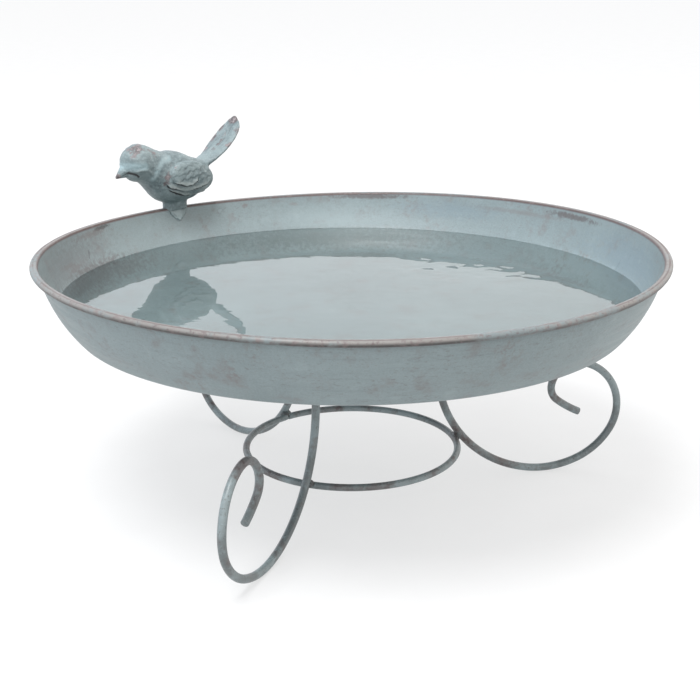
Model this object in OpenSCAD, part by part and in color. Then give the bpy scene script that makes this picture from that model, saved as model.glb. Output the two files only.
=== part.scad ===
// Table-top bird bath: a spun steel dish with a wired edge, welded on three scroll legs of
// bent wire, with a small cast bird standing on the rim.
// Origin on the ground under the middle of the dish, +Z up, the bird at the back left.

/* [Dish] */
// Outside diameter over the rolled rim
dish_d = 310; // [270:5:340]
// Height of the top of the rim above the ground
rim_h = 127.4; // [120:0.2:140]
// Thickness of the dish's sheet
sheet_t = 0.8; // [0.6:0.1:1]
// Diameter of the wire that the rim is rolled round
rim_wire_d = 1.2; // [1:0.1:1.5]
// Width of the flat on top of the rolled rim
rim_flat = 1.1; // [0.6:0.1:1.6]
// Radius of the bend between floor and wall, at the middle of the sheet
corner_r = 6; // [4:0.5:10]
// Slope of the wall where it leaves that bend, in degrees
corner_turn = 48.5; // [40:0.5:55]
// Radius of the wall's own curve, at the middle of the sheet
wall_r = 66.3; // [60:0.1:70]
// Degrees that the wall turns up between the bend and the rim
wall_turn = 29.5; // [26:0.5:34]
// Degrees that the rim is rolled outwards and under
roll_turn = 285; // [240:5:290]

/* [Legs] */
// Diameter of the leg wire
leg_d = 4; // [3:0.5:5]
// Distance of each leg's upright from the axis
upright_r = 45.4; // [42:0.2:48]
// Bend radius at the top of the upright
top_bend_r = 8; // [6:0.5:10]
// Length of the end that lies flat under the dish
top_end_l = 14; // [10:1:20]
// Direction of the right leg, in degrees from +X
leg_right_at = 15; // [0:0.5:30]
// Direction of the back leg
leg_back_at = 134.5; // [120:0.5:145]
// Direction of the front leg
leg_front_at = 252; // [240:0.5:270]
// Fraction of full size for the scroll's eight bends, which are listed under Hidden
scroll_size = 1; // [0.95:0.01:1.05]

/* [Bracing ring] */
// Diameter of the ring's wire
ring_wire_d = 3.5; // [3:0.5:4]
// Degrees along each leg's first bend at which the ring touches it
ring_turn = 37.5; // [30:0.5:45]
// Gap between ring and leg that the weld fills
weld_gap = 0.2; // [0.1:0.1:0.4]
// Radius of each weld at the ring
ring_weld_r = 3.3; // [3:0.1:4]

/* [Bird] */
// Direction of the bird's perch, in degrees from +X
bird_at = 136; // [120:1:150]
// Degrees that the bird faces away from the rim's own direction
bird_turn = 0; // [-10:1:10]
// Width of the steel tongue that holds it
tongue_w = 12; // [10:0.5:13]
// Thickness of the tongue
tongue_t = 1.2; // [1:0.1:1.6]
// Depth of the tongue's point below the top of the rim
tongue_drop = 7; // [6:0.5:9]

/* [Hidden] */

PAINT = [0.55, 0.62, 0.64];
WIRE_PAINT = [0.42, 0.47, 0.48];
BARE = [0.45, 0.36, 0.33];
FINE = 64;       // facets round a wire
ROUND = 180;     // facets round the dish
CLEAR = 0.02;    // gap between pieces that only touch
TRIM = 0.05;     // bends stop this short of each other, and a ball joins them

// Rim: the sheet bends out over the wall, runs flat, and is rolled round the rim wire.
roll_r = rim_wire_d / 2 + CLEAR + sheet_t / 2;
bead_r = roll_r + sheet_t / 2;
rim_r = dish_d / 2 - bead_r;
lip_r = rim_r - rim_flat;
rim_z = rim_h - bead_r;

// Dish, at the middle of the sheet: flat floor, corner bend, wall and roll.
wall_end = corner_turn + wall_turn;
wall_top = [lip_r - roll_r * sin(wall_end), rim_z + roll_r * cos(wall_end)];
wall_mid = wall_top + wall_r * [-sin(wall_end), cos(wall_end)];
corner_top = wall_mid + wall_r * [sin(corner_turn), -cos(corner_turn)];
corner_mid = corner_top + corner_r * [-sin(corner_turn), cos(corner_turn)];
floor_z = corner_mid[1] - corner_r;
under_z = floor_z - sheet_t / 2;

// Scroll: radius and turn of each bend in order, from the upright out to the curled end.
BENDS = [for (b = [[60, 81], [50, 33], [37, 36], [26, 102], [18, 15], [14, 83], [9, 62],
                   [60, 14]]) [b[0] * scroll_size, b[1]]];
// The second bend passes through the lowest point, where the wire rests on the ground.
upright_z = leg_d / 2 + BENDS[0][0] * sin(BENDS[0][1])
          + BENDS[1][0] * (1 - cos(90 - BENDS[0][1]));
top_end_z = under_z - CLEAR - leg_d / 2;

// Bracing ring: it lies against the inner side of every leg's first bend.
touch_dir = [cos(180 + ring_turn), sin(180 + ring_turn)];
first_mid = [upright_r + BENDS[0][0], upright_z];
ring_at = first_mid + (BENDS[0][0] + leg_d / 2 + weld_gap + ring_wire_d / 2) * touch_dir;
weld_at = first_mid + (BENDS[0][0] + leg_d / 2 + weld_gap / 2) * touch_dir;
ring_gap = 1.2;  // between the ring's own two ends, in mm

// Bird, in its own frame: x towards the beak, y to its left, z up from the top of the rim.
// Each station is [x, z, half width, half height, lean in degrees], from the back forwards.
BODY = [[-22.4, 17.6, 2.4, 2.2, 0], [-20, 16.5, 8, 7.3, 0], [-16, 15.4, 10.9, 9.5, 0],
        [-10, 15, 12.9, 12, 0], [-3, 15.8, 13.8, 14.4, 0], [4, 16.3, 13.6, 15.1, 4],
        [10.2, 17.8, 12.4, 13.9, 10], [15, 21.1, 10.8, 12, 14], [19.3, 24.3, 10, 11.2, 10],
        [23.8, 26.4, 10.1, 10.8, 4], [27.9, 26, 9, 9.7, -4], [31, 25, 6.5, 7.6, -10],
        [33.4, 23.8, 2.9, 3.7, -14]];
BEAK = [[31, 23.2, 4.2, 4.5, -30], [33.5, 21.9, 2.9, 3.3, -34], [36.1, 20.6, 1.6, 1.8, -36],
        [38.4, 19.5, 0.5, 0.6, -36]];
TAIL = [[-45.3, 46.3, 1.4, 0.9, -43], [-44.4, 44, 4.9, 1.3, -43], [-42.2, 40.6, 8.1, 1.5, -43],
        [-38, 35.9, 9.8, 1.7, -43], [-32.6, 30.7, 9.9, 1.9, -43], [-25.6, 24.9, 8.2, 2.2, -43],
        [-20.3, 22, 6.9, 2.8, -43], [-15, 18.1, 6.3, 3.6, -43]];
FOOT = [[-0.5, 7.8, 5], [1.6, 7.8, 5.6], [4, 9.6, 7], [7, 12, 9]];  // height, half length, half width
STEPS = 2;       // rings between two stations
SIDES = 24;      // points round a ring
WING_RINGS = 14; // rings along a wing
WING_END = 5;    // degrees short of its tip and its shoulder where the rings stop
wing_size = [15.5, 3.6, 9];
wing_place = [-5, 11.6, 17];
wing_dip = 14;   // degrees that the wing's tip hangs below its shoulder
eye_place = [27.2, 8.5, 27.6];
tongue_lean = 90 - wall_end + 3;  // follows the wall below the rim
tongue_rise = 7; // part of the tongue inside the bird
tongue_gap = 0.15;  // between the tongue and the rim
tongue_tip = 1.2;   // half the width of its blunt point
tongue_side = [tongue_w / 2, 0.5];
tongue_end = [tongue_tip, tongue_drop - bead_r];

// ---- shared shapes ----

// Pie slice, to cut an arc out of a flat ring.
module slice(from, turn, reach) {
    polygon(concat([[0, 0]], [for (i = [0:4]) reach * [cos(from + turn * i / 4),
                                                       sin(from + turn * i / 4)]]));
}

// Arc of sheet seen from its edge, with a dot that joins it to what comes before it.
module band(r, from, turn, cut = TRIM) {
    cut_turn = cut / r * 180 / PI;
    intersection() {
        difference() {
            circle(r + sheet_t / 2, $fn = ROUND);
            circle(r - sheet_t / 2, $fn = ROUND);
        }
        slice(from + cut_turn, turn - 2 * cut_turn, 2 * r + 2 * sheet_t);
    }
    translate(r * [cos(from), sin(from)]) circle(d = sheet_t + TRIM / 5, $fn = FINE);
}

// Arc of round wire in the upright plane through +X.
module wire_arc(r, from, turn, d) {
    rotate([90, 0, 0])
        rotate_extrude(angle = turn, start = from, $fn = ROUND)
            translate([r, 0]) circle(d = d, $fn = FINE);
}

// The same arc, cut short at both ends, with a ball that joins it to what comes before it.
module joined_arc(r, from, turn, d) {
    cut_turn = TRIM / r * 180 / PI;
    wire_arc(r, from + cut_turn, turn - 2 * cut_turn, d);
    translate([r * cos(from), 0, r * sin(from)]) sphere(d = d + TRIM / 5, $fn = FINE);
}

// Direction, place and centre of the wire as it enters bend i.
function heading(i) = i == 0 ? -90 : heading(i - 1) + BENDS[i - 1][1];
function bend_mid(i) = i == 0
    ? first_mid
    : bend_mid(i - 1) + (BENDS[i - 1][0] - BENDS[i][0]) * [sin(heading(i)), -cos(heading(i))];

// A ring of points through one station of a smooth body.
function station(s) = [for (j = [0:SIDES - 1]) let (a = 360 * j / SIDES)
    [s[0] - sin(s[4]) * s[3] * sin(a), s[2] * cos(a), s[1] + cos(s[4]) * s[3] * sin(a)]];
// Catmull-Rom value between four neighbouring stations.
function between(p, q, r, s, t) = 0.5 * (2 * q + (r - p) * t + (2 * p - 5 * q + 4 * r - s) * t * t
                                         + (3 * q - p - 3 * r + s) * t * t * t);
function pick(list, i) = list[max(0, min(len(list) - 1, i))];
function smooth(list) = concat([for (i = [0:len(list) - 2], k = [0:STEPS - 1])
    between(pick(list, i - 1), list[i], list[i + 1], pick(list, i + 2), k / STEPS)],
    [list[len(list) - 1]]);

// Closed skin over rings of SIDES points each.
module skin(rings) {
    n = len(rings);
    points = [for (ring = rings, p = ring) p];
    walls = [for (i = [0:n - 2], j = [0:SIDES - 1]) let (k = (j + 1) % SIDES)
        [(i + 1) * SIDES + j, (i + 1) * SIDES + k, i * SIDES + k, i * SIDES + j]];
    ends = [[for (j = [0:SIDES - 1]) j], [for (j = [SIDES - 1:-1:0]) (n - 1) * SIDES + j]];
    polyhedron(points, concat(walls, ends));
}

module loft(list) {
    skin([for (s = smooth(list)) station(s)]);
}

// ---- dish ----

module dish() {
    color(PAINT) rotate_extrude($fn = ROUND) {
        translate([0, under_z]) square([corner_mid[0] - TRIM, sheet_t]);
        translate(corner_mid) band(corner_r, -90, corner_turn);
        translate(wall_mid) band(wall_r, corner_turn - 90, wall_turn);
        mirror([1, 0]) translate([-lip_r, rim_z]) band(roll_r, 90 - wall_end, wall_end);
        translate([lip_r + TRIM, rim_z + roll_r - sheet_t / 2])
            square([rim_flat - 2 * TRIM, sheet_t]);
        translate([lip_r, rim_z + roll_r]) circle(d = sheet_t + TRIM / 5, $fn = FINE);
        mirror([1, 0]) translate([-rim_r, rim_z]) band(roll_r, 90, roll_turn - wall_end);
    }
}

module rim_wire() {
    color(BARE) rotate_extrude($fn = ROUND)
        translate([rim_r, rim_z]) circle(d = rim_wire_d, $fn = FINE);
}

// ---- stand ----

module leg(at) {
    color(WIRE_PAINT) rotate([0, 0, at]) {
        bend_z = top_end_z - top_bend_r;
        translate([upright_r - top_bend_r - top_end_l, 0, top_end_z])
            rotate([0, 90, 0]) cylinder(d = leg_d, h = top_end_l - TRIM, $fn = FINE);
        translate([upright_r - top_bend_r, 0, bend_z]) mirror([1, 0, 0])
            joined_arc(top_bend_r, 90, 90, leg_d);
        translate([upright_r, 0, bend_z]) sphere(d = leg_d + TRIM / 5, $fn = FINE);
        translate([upright_r, 0, upright_z + TRIM])
            cylinder(d = leg_d, h = bend_z - upright_z - 2 * TRIM, $fn = FINE);
        for (i = [0:len(BENDS) - 1])
            translate([bend_mid(i)[0], 0, bend_mid(i)[1]])
                joined_arc(BENDS[i][0], heading(i) - 90, BENDS[i][1], leg_d);
    }
}

// The ring's two ends meet at the back leg, where one weld joins all three.
module bracing_ring() {
    gap_turn = ring_gap / ring_at[0] * 180 / PI;
    color(WIRE_PAINT) rotate_extrude(angle = 360 - gap_turn, start = leg_back_at + gap_turn / 2,
                                     $fn = ROUND)
        translate(ring_at) circle(d = ring_wire_d, $fn = FINE);
}

module ring_weld(at) {
    color(WIRE_PAINT) difference() {
        rotate([0, 0, at]) difference() {
            translate([weld_at[0], 0, weld_at[1]]) sphere(ring_weld_r, $fn = FINE);
            translate([first_mid[0], 0, first_mid[1]])
                wire_arc(BENDS[0][0], 180 + ring_turn - 12, 24, leg_d + CLEAR);
        }
        bracing_ring();
    }
}

// Two beads of filler, one on each side of the wire's flat end.
module dish_weld(at) {
    bead_l = top_end_l - 3;
    bead_w = 1.6;
    bead_h = 1.7;
    color(WIRE_PAINT) rotate([0, 0, at])
        translate([upright_r - top_bend_r - top_end_l + 1, 0, under_z - CLEAR / 2])
            difference() {
                for (side = [-1, 1])
                    rotate([90, 0, 90]) linear_extrude(bead_l)
                        polygon([[side * leg_d * 0.2, 0], [side * (leg_d / 2 + bead_w), 0],
                                 [side * leg_d * 0.48, -bead_h]]);
                translate([-1, 0, -leg_d / 2 - CLEAR / 2])
                    rotate([0, 90, 0]) cylinder(d = leg_d + CLEAR, h = bead_l + 2, $fn = FINE);
            }
}

// ---- bird ----

module on_perch() {
    rotate([0, 0, bird_at]) translate([rim_r, 0, rim_h])
        rotate([0, 0, 90 + bird_turn]) children();
}

// Flat against the inside of the rim: x along it, y down the wall, z into the dish.
module on_wall() {
    translate([0, rim_flat + bead_r + tongue_gap, -bead_r]) rotate([tongue_lean - 90, 0, 0])
        children();
}

// Steel strip with a pointed end, with room to spare all round.
module tongue_blank(grow) {
    side = tongue_side + [grow, 0];
    end = tongue_end + [grow / 2, grow];
    on_wall() translate([0, 0, -grow]) linear_extrude(tongue_t + 2 * grow)
        polygon([[-side[0], -tongue_rise - grow], [side[0], -tongue_rise - grow], side, end,
                 [-end[0], end[1]], [-side[0], side[1]]]);
}

module bird_tongue() {
    color(PAINT) on_perch() tongue_blank(0);
}

// A folded wing: an ellipsoid skinned in rings from its tip to its shoulder.
module wing() {
    skin([for (k = [0:WING_RINGS]) let (a = WING_END + (180 - 2 * WING_END) * k / WING_RINGS)
        [for (j = [0:SIDES - 1]) let (t = 360 * j / SIDES)
            [-wing_size[0] * cos(a), wing_size[1] * sin(a) * cos(t),
             wing_size[2] * sin(a) * sin(t)]]]);
}

module bird() {
    color(PAINT) difference() {
        on_perch() difference() {
            union() {
                loft(BODY);
                loft(BEAK);
                loft(TAIL);
                skin([for (s = FOOT) [for (j = [0:SIDES - 1]) let (a = 360 * j / SIDES)
                    [s[1] * cos(a), s[2] * sin(a), s[0]]]]);
                for (side = [-1, 1]) {
                    translate([wing_place[0], side * wing_place[1], wing_place[2]])
                        rotate([0, -wing_dip, side * 5]) wing();
                    translate([eye_place[0], side * eye_place[1], eye_place[2]])
                        sphere(1.1, $fn = 16);
                }
            }
            tongue_blank(0.05);
        }
        rotate_extrude(angle = 24, start = bird_at - 12, $fn = ROUND) {
            for (r = [lip_r, rim_r]) translate([r, rim_z]) circle(bead_r + 0.05, $fn = FINE);
            translate([lip_r, rim_z - bead_r]) square([rim_flat, 2 * bead_r + 0.05]);
        }
    }
}

// Filler along both slanted edges of the tongue's point, against the wall.
module bird_weld() {
    edge = tongue_side - tongue_end;
    color(PAINT) difference() {
        on_perch() difference() {
            on_wall() for (side = [-1, 1])
                translate([side * (tongue_side[0] + tongue_end[0]) / 2,
                           (tongue_side[1] + tongue_end[1]) / 2, 0.3])
                    rotate([0, 0, side * atan2(edge[1], edge[0])]) rotate([0, 90, 0])
                        cylinder(r = 0.8, h = norm(edge) - 1.5, center = true, $fn = FINE);
            tongue_blank(CLEAR);
        }
        rotate_extrude(angle = 24, start = bird_at - 12, $fn = 4 * ROUND)
            translate(wall_mid) difference() {
                circle(wall_r + 3, $fn = 4 * ROUND);
                circle(wall_r - sheet_t / 2 - CLEAR, $fn = 4 * ROUND);
            }
    }
}

dish();
rim_wire();
leg(leg_right_at);  // leg_right
leg(leg_back_at);  // leg_back
leg(leg_front_at);  // leg_front
bracing_ring();
ring_weld(leg_right_at);  // ring_weld_right
ring_weld(leg_back_at);  // ring_weld_back
ring_weld(leg_front_at);  // ring_weld_front
dish_weld(leg_right_at);  // dish_weld_right
dish_weld(leg_back_at);  // dish_weld_back
dish_weld(leg_front_at);  // dish_weld_front
bird();
bird_tongue();
bird_weld();
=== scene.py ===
"""Looks of a table-top bird bath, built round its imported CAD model.

Lengths are in millimetres in the model's own frame, and Z is up. Mesh builders turn them into
metres. Names match the CAD source where they mean the same thing.
"""

import math

import bmesh
import bpy
import numpy as np
from mathutils import Matrix, Vector, noise


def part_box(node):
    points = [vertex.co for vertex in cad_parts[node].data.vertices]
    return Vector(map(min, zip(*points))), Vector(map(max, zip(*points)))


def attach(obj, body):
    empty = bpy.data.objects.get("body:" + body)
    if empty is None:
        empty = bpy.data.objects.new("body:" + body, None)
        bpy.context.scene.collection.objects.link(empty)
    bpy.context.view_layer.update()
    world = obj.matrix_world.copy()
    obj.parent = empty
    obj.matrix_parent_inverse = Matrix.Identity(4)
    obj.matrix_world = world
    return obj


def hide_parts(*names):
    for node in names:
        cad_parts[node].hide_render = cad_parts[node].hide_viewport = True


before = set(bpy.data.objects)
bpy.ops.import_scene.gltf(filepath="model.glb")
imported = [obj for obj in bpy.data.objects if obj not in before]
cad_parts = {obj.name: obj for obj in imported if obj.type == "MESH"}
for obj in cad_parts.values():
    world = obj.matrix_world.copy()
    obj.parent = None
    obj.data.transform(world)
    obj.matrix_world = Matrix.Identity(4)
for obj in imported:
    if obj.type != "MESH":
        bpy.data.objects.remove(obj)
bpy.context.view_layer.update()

MM = 0.001
ROOT = "root"

# ---- dimensions ----

# dish
SHEET_T = 0.8
RIM_WIRE_R = 0.6
RIM_FLAT = 1.1
ROLL_R = 1.02
BEAD_R = ROLL_R + SHEET_T / 2
RIM_R = 1000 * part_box("dish")[1].x - BEAD_R
LIP_R = RIM_R - RIM_FLAT
RIM_Z = 1000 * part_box("dish")[1].z - BEAD_R
UNDER_Z = 1000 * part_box("dish")[0].z
FLOOR_Z = UNDER_Z + SHEET_T / 2
CORNER_R, CORNER_TURN = 6.0, 48.5
WALL_R, WALL_TURN = 66.3, 29.5
WALL_END = CORNER_TURN + WALL_TURN
ROLL_TURN = 285.0

# stand
LEG_R = 2.0
UPRIGHT_R = 45.4
TOP_BEND_R, TOP_END_L = 8.0, 14.0
LEGS = {"leg_right": 15.0, "leg_back": 134.5, "leg_front": 252.0}
BENDS = ((60, 81), (50, 33), (37, 36), (26, 102), (18, 15), (14, 83), (9, 62), (60, 14))
RING_WIRE_R = 1.75
RING_TURN = 37.5
WELD_GAP = 0.2

# water
WATER_Z = 106.5

# bird
BIRD_AT = 136.0
PERCH_DROP = 1.5  # the rim sags this much under the bird

TAU = 2 * math.pi


def ring_sin(degrees):
    return math.sin(math.radians(degrees))


def ring_cos(degrees):
    return math.cos(math.radians(degrees))


def smooth_step(low, high, value):
    t = np.clip((value - low) / (high - low), 0.0, 1.0)
    return t * t * (3 - 2 * t)


def noise_at(points, scale, seed=0.0):
    """Smooth noise from -1 to 1 at each point, with features about `scale` mm across."""
    shift = Vector((seed * 17.3, seed * 9.1, seed * 5.7))
    return np.array([noise.noise(Vector(p) / scale + shift) for p in points])


# ---- mesh builders ----


def make_piece(name, points, faces, material, replaces=(), attributes=None):
    """A smooth-shaded piece on the root body, from points in mm."""
    mesh = bpy.data.meshes.new(name)
    mesh.from_pydata([Vector(p) * MM for p in points], [], faces)
    for key, values in (attributes or {}).items():
        layer = mesh.attributes.new(key, "FLOAT", "POINT")
        layer.data.foreach_set("value", np.asarray(values, np.float32))
    work = bmesh.new()
    work.from_mesh(mesh)
    bmesh.ops.recalc_face_normals(work, faces=work.faces)
    work.to_mesh(mesh)
    work.free()
    for polygon in mesh.polygons:
        polygon.use_smooth = True
    piece = bpy.data.objects.new(name, mesh)
    bpy.context.scene.collection.objects.link(piece)
    mesh.materials.append(material)
    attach(piece, ROOT)
    if replaces:
        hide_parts(*replaces)
    return piece


def arc(middle, radius, start, turn, steps):
    """Stations (x, z, normal x, normal z) on an arc; the normal is on the left of the travel."""
    side = -1 if turn > 0 else 1
    stations = []
    for k in range(steps + 1):
        a = start + turn * k / steps
        c, s = ring_cos(a), ring_sin(a)
        stations.append((middle[0] + radius * c, middle[1] + radius * s, side * c, side * s))
    return stations


def lathe(section, segments):
    """Points and faces of a closed section (radius, height) turned about Z. Ends on the axis."""
    points, rows = [], []
    for radius, height in section:
        if radius < 1e-6:
            rows.append([len(points)])
            points.append((0.0, 0.0, height))
            continue
        rows.append(list(range(len(points), len(points) + segments)))
        for j in range(segments):
            a = TAU * j / segments
            points.append((radius * math.cos(a), radius * math.sin(a), height))
    faces = []
    for lower, upper in zip(rows, rows[1:]):
        for j in range(segments):
            k = (j + 1) % segments
            if len(lower) == 1:
                faces.append((lower[0], upper[j], upper[k]))
            elif len(upper) == 1:
                faces.append((lower[j], upper[0], lower[k]))
            else:
                faces.append((lower[j], upper[j], upper[k], lower[k]))
    return np.array(points), faces, rows


def sweep(path, radii, sides, closed=False):
    """Points and faces of a round bar along a path. Open ends are closed with flat caps."""
    path = np.array(path, float)
    count = len(path)
    if closed:
        along = np.roll(path, -1, axis=0) - np.roll(path, 1, axis=0)
    else:
        along = np.gradient(path, axis=0)
    along /= np.linalg.norm(along, axis=1)[:, None]
    side = np.cross(along[0], (0, 0, 1.0))
    if np.linalg.norm(side) < 0.1:
        side = np.cross(along[0], (0, 1.0, 0))
    points = []
    for centre, direction, radius in zip(path, along, radii):
        side = side - direction * (side @ direction)
        side /= np.linalg.norm(side)
        up = np.cross(direction, side)
        for j in range(sides):
            a = TAU * j / sides
            points.append(centre + radius * (math.cos(a) * side + math.sin(a) * up))
    faces = []
    for i in range(count if closed else count - 1):
        for j in range(sides):
            k = (j + 1) % sides
            m = (i + 1) % count
            faces.append((i * sides + j, i * sides + k, m * sides + k, m * sides + j))
    if not closed:
        for first, centre in ((0, path[0]), ((count - 1) * sides, path[-1])):
            points.append(centre)
            middle = len(points) - 1
            faces += [(first + j, first + (j + 1) % sides, middle) for j in range(sides)]
    return np.array(points), faces


def turned(points, degrees):
    """Points turned about Z."""
    c, s = ring_cos(degrees), ring_sin(degrees)
    return np.asarray(points, float) @ np.array([[c, s, 0], [-s, c, 0], [0, 0, 1.0]])


# ---- materials ----


def colour(red, green, blue):
    """A linear colour from 8-bit sRGB."""

    def linear(value):
        value /= 255
        return value / 12.92 if value <= 0.04045 else ((value + 0.055) / 1.055) ** 2.4

    return (linear(red), linear(green), linear(blue), 1.0)


class Look:
    """A material under construction: a Principled shader and the nodes that feed it."""

    def __init__(self, name):
        self.material = bpy.data.materials.new(name)
        self.material.use_nodes = True
        self.tree = self.material.node_tree
        self.tree.nodes.clear()
        self.output = self.tree.nodes.new("ShaderNodeOutputMaterial")
        self.place = self.tree.nodes.new("ShaderNodeTexCoord").outputs["Object"]

    def node(self, kind, **settings):
        made = self.tree.nodes.new("ShaderNode" + kind)
        for key, value in settings.items():
            setattr(made, key, value)
        return made

    def wire(self, source, target):
        self.tree.links.new(source, target)

    def feed(self, target, value):
        if isinstance(value, bpy.types.NodeSocket):
            self.wire(value, target)
        else:
            target.default_value = value

    def stretched(self, x, y, z):
        """Object coordinates scaled per axis, in features per metre."""
        node = self.node("Mapping")
        self.wire(self.place, node.inputs["Vector"])
        node.inputs["Scale"].default_value = (x, y, z)
        return node.outputs["Vector"]

    def noise(self, scale, detail=3.0, roughness=0.5, at=None, distortion=0.0):
        node = self.node("TexNoise")
        self.wire(at or self.place, node.inputs["Vector"])
        for key, value in (
            ("Scale", scale),
            ("Detail", detail),
            ("Roughness", roughness),
            ("Distortion", distortion),
        ):
            node.inputs[key].default_value = value
        return node.outputs["Fac"]

    def ramp(self, value, low, high, out_low=0.0, out_high=1.0):
        node = self.node("MapRange", interpolation_type="SMOOTHSTEP")
        for key, number in (
            ("Value", value),
            ("From Min", low),
            ("From Max", high),
            ("To Min", out_low),
            ("To Max", out_high),
        ):
            self.feed(node.inputs[key], number)
        return node.outputs["Result"]

    def maths(self, operation, a, b, clamp=False):
        node = self.node("Math", operation=operation, use_clamp=clamp)
        self.feed(node.inputs[0], a)
        self.feed(node.inputs[1], b)
        return node.outputs[0]

    def mix(self, share, a, b):
        node = self.node("Mix", data_type="RGBA")
        self.feed(node.inputs["Factor"], share)
        self.feed(node.inputs["A"], a)
        self.feed(node.inputs["B"], b)
        return node.outputs["Result"]

    def around(self):
        """Place on the wall as (distance round it from the back, height), in metres."""
        parts = self.node("SeparateXYZ")
        self.wire(self.place, parts.inputs[0])
        leftward = self.maths("MULTIPLY", parts.outputs["X"], -1.0)
        angle = self.maths("ARCTAN2", leftward, parts.outputs["Y"])
        both = self.node("CombineXYZ")
        self.wire(self.maths("MULTIPLY", angle, MM * MARK_R), both.inputs["X"])
        self.wire(parts.outputs["Z"], both.inputs["Y"])
        return both.outputs[0]

    def spot(self, around, ragged, mark):
        """How much a mark shows: its full share at its middle and none past its ragged edge."""
        at, height, reach, rise, slant, soft, share = mark
        node = self.node("Mapping", vector_type="TEXTURE")
        self.wire(around, node.inputs["Vector"])
        distance = math.radians(at - 90) * MARK_R
        node.inputs["Location"].default_value = (distance * MM, height * MM, 0)
        node.inputs["Rotation"].default_value = (0, 0, math.radians(slant))
        node.inputs["Scale"].default_value = (reach * MM, rise * MM, 1)
        length = self.node("VectorMath", operation="LENGTH")
        self.wire(node.outputs["Vector"], length.inputs[0])
        away = self.maths("ADD", length.outputs["Value"], ragged)
        return self.ramp(away, 1 + soft, 1 - soft, 0, share)

    def attribute(self, name):
        return self.node("Attribute", attribute_name=name).outputs["Fac"]

    def bump(self, height, distance, strength=1.0, after=None):
        node = self.node("Bump")
        node.inputs["Strength"].default_value = strength
        node.inputs["Distance"].default_value = distance * MM
        self.wire(height, node.inputs["Height"])
        if after:
            self.wire(after, node.inputs["Normal"])
        return node.outputs["Normal"]

    def finish(self, base, roughness, normal, specular=0.5, metallic=0.0):
        shader = self.node("BsdfPrincipled")
        self.feed(shader.inputs["Base Color"], base)
        self.feed(shader.inputs["Roughness"], roughness)
        self.wire(normal, shader.inputs["Normal"])
        shader.inputs["Specular IOR Level"].default_value = specular
        self.feed(shader.inputs["Metallic"], metallic)
        self.wire(shader.outputs[0], self.output.inputs["Surface"])
        return self.material


PAINT = colour(110, 122, 124)
PAINT_PALE = colour(134, 147, 149)
PAINT_DEEP = colour(90, 101, 104)
# darker and bluer: painted cool shade for the right of the inside wall
PAINTED_COOL_SHADE = colour(100, 117, 127)
RUB = colour(104, 94, 93)
RUST = colour(72, 55, 54)
BONE = colour(116, 111, 107)
# dark, for small dark marks inside the wall and for painted shade under the rim's bead
DARK_MARKS_AND_SHADE = colour(52, 51, 51)

# Marks on the inside of the wall: direction in degrees, height, half length and half width in mm,
# slant in degrees, softness of the edge, share; then the colour painted there. Most are marks in
# the paint; the pale line at the waterline is a painted highlight, and the blue patches on the
# right are painted cool shade.
MARK_R = 147.0
MARKS = (
    ((10.6, 116.5, 1.5, 0.9, 0, 0.3, 0.7), PAINT_PALE),
    ((19.7, 107.3, 1.8, 1.0, 0, 0.3, 0.6), PAINT_PALE),
    ((6.6, 104.3, 1.5, 0.9, 0, 0.3, 0.6), PAINT_PALE),
    ((18.6, 109.2, 0.45, 2.2, 0, 0.4, 0.6), PAINT_DEEP),
    ((20.3, 103.0, 1.9, 0.6, 0, 0.4, 0.5), DARK_MARKS_AND_SHADE),
    ((165.7, 114.0, 3.6, 0.42, -53, 0.35, 0.7), DARK_MARKS_AND_SHADE),
    # a pale line at the waterline on the left: a painted highlight of the meniscus
    ((173.4, 105.3, 16, 0.35, -2, 0.5, 0.7), PAINT_PALE),
    ((158.7, 124.4, 6.5, 1.0, 0, 0.3, 0.75), DARK_MARKS_AND_SHADE),
    ((163.0, 122.8, 13, 1.6, 0, 0.6, 0.45), RUB),
    ((119.2, 122.3, 1.8, 1.2, 0, 0.4, 0.55), RUB),
    ((107.5, 121.0, 2.4, 1.0, 0, 0.4, 0.4), RUB),
    ((125.4, 120.3, 2.0, 1.6, 0, 0.2, 0.35), PAINT_DEEP),
    ((125.4, 120.3, 1.3, 1.0, 0, 0.2, 0.5), PAINT_PALE),
    ((175.5, 113.2, 9, 1.1, 3, 0.6, 0.5), RUB),
    ((173.5, 110.6, 10, 1.3, -4, 0.6, 0.5), RUB),
    ((171.0, 108.0, 8, 1.0, 2, 0.6, 0.45), RUB),
    ((163.0, 106.0, 13, 3.0, 0, 0.7, 0.4), RUB),
    ((156.0, 102.0, 16, 3.4, 0, 0.7, 0.35), RUB),
    ((90.0, 124.6, 20, 1.3, 0, 0.5, 0.6), RUST),
    ((38.5, 125.0, 16, 1.5, 0, 0.5, 0.6), RUST),
    ((54.0, 122.0, 26, 1.1, 0, 0.7, 0.35), RUB),
    # painted cool shade on the right of the inside wall
    ((71.0, 119.0, 24, 4.0, 0, 0.8, 0.35), PAINTED_COOL_SHADE),
    ((176.0, 114.0, 34, 10.0, 0, 0.9, 0.6), colour(94, 96, 98)),
    ((168.0, 103.0, 40, 4.5, 0, 0.8, 0.75), colour(86, 88, 89)),
    ((98.0, 101.5, 60, 5.0, 0, 0.8, 0.8), colour(84, 93, 92)),
    ((28.0, 102.0, 40, 4.5, 0, 0.8, 0.6), PAINT_PALE),
    # painted cool shade on the right of the inside wall
    ((12.0, 114.0, 40, 9.0, 0, 0.9, 0.5), PAINTED_COOL_SHADE),
    ((100.0, 113.0, 34, 7.0, 0, 0.9, 0.4), PAINT_PALE),
)


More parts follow.
